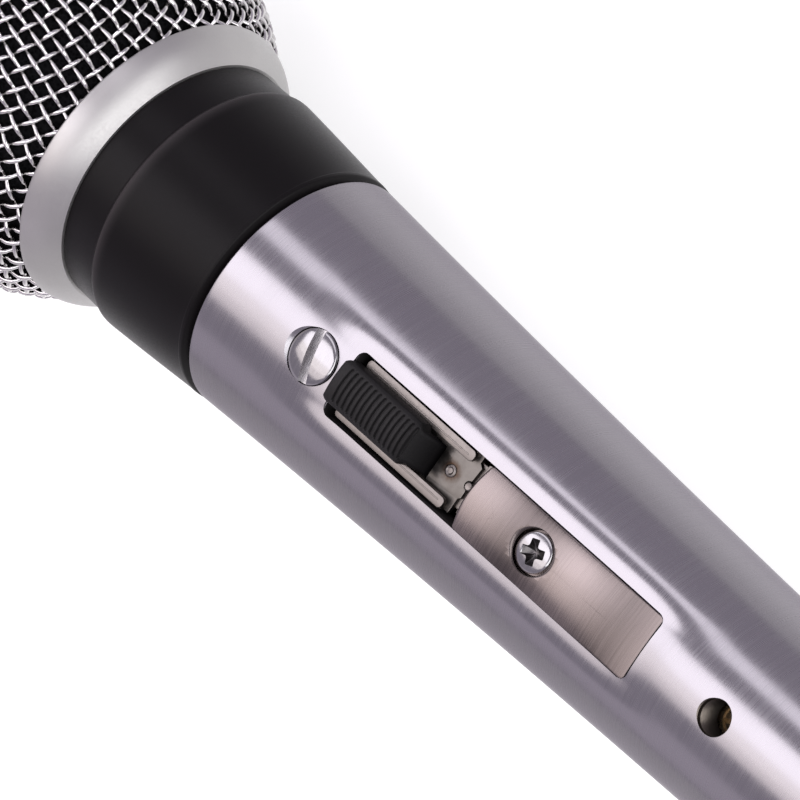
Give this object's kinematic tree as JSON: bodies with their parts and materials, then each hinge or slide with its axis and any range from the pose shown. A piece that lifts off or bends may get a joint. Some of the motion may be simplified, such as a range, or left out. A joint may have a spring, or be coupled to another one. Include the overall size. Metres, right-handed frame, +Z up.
{
  "type": "dynamic microphone",
  "caption": "Handheld dynamic vocal microphone with a woven ball grille, flared ring, black collar, tapered brushed handle, slide switch and three-contact base socket.",
  "frame": {"origin": "middle of the microphone's bounding box, on the table it lies on", "axes": "+X runs level from the connector end towards the grille, +Z is up and the switch faces it. The axis leans 5.53 degrees, grille high, because the grille and the rim of the connector end both touch the table"},
  "size_m": [0.1656, 0.0508, 0.0508],
  "materials": {
    "handle_metal": "brushed satin nickel, hairlines round the handle",
    "cover_metal": "brushed across, warm grey",
    "ring_metal": "smooth pale satin",
    "mesh_wire": "bright nickel wire",
    "collar_black": "matte black enamel",
    "screw_chrome": "polished",
    "slider_black": "moulded, matte",
    "switch_steel": "dull tinned steel",
    "phenolic": "pressed phenolic",
    "nylon": "moulded",
    "contact_metal": "plated brass",
    "brass": "turned",
    "pin_silver": "silver plated",
    "insert_black": "moulded",
    "foam": "open-cell foam",
    "rubber": "moulded rubber",
    "cartridge_plastic": "moulded",
    "magnet_steel": "plated steel",
    "core_iron": "laminated",
    "copper_wire": "enamelled copper",
    "bobbin_plastic": "moulded",
    "film": "thin film",
    "felt": "felt",
    "lead_red": "insulation",
    "lead_black": "insulation",
    "lead_yellow": "insulation"
  },
  "bodies": {
    "root": {"collar": "collar_black", "handle_shell": "handle_metal", "collar_screw": "screw_chrome", "cover_plate": "cover_metal", "cover_screw": "screw_chrome", "switch_frame": "switch_steel", "switch_bracket": "switch_steel", "switch_base": "phenolic", "switch_rivets": "switch_steel", "switch_terminals": "contact_metal", "switch_detent_spring": "contact_metal", "xlr_insert": "insert_black", "lock_nut": "brass", "lock_screw": "brass", "ground_spring": "contact_metal", "transformer_core": "core_iron", "transformer_bobbin": "bobbin_plastic", "transformer_winding": "copper_wire", "transformer_pad": "felt", "cartridge_housing": "cartridge_plastic", "cartridge_yoke": "magnet_steel", "cartridge_magnet": "magnet_steel", "cartridge_pole_piece": "magnet_steel", "cartridge_front_plate": "magnet_steel", "voice_coil": "copper_wire", "diaphragm": "film", "diaphragm_ring": "cartridge_plastic", "cartridge_front_cap": "cartridge_plastic", "cartridge_screen": "felt", "cartridge_terminal_board": "phenolic", "cartridge_lugs": "contact_metal", "shock_mount": "rubber", "xlr_pin_1": "pin_silver", "xlr_pin_2": "pin_silver", "xlr_pin_3": "pin_silver", "lead_cartridge_hot": "lead_red", "lead_cartridge_common": "lead_black", "lead_output_hot": "lead_red", "lead_output_cold": "lead_yellow", "lead_output_common": "lead_black"},
    "slider": {"switch_slider": "slider_black", "switch_carriage": "nylon", "switch_contact_blade": "contact_metal"},
    "grille": {"grille_lower_mesh": "mesh_wire", "grille_upper_mesh": "mesh_wire", "grille_band": "ring_metal", "grille_ring": "ring_metal", "foam_liner": "foam"}
  },
  "joints": [
    {"name": "switch_slide", "type": "slide", "parent": "root", "child": "slider", "axis": [-0.9909, 0, -0.1344], "range_m": [0, 0.004]},
    {"name": "grille_lift", "type": "slide", "parent": "root", "child": "grille", "axis": [0.9954, 0, 0.0963], "range_m": [0, 0.04]}
  ]
}
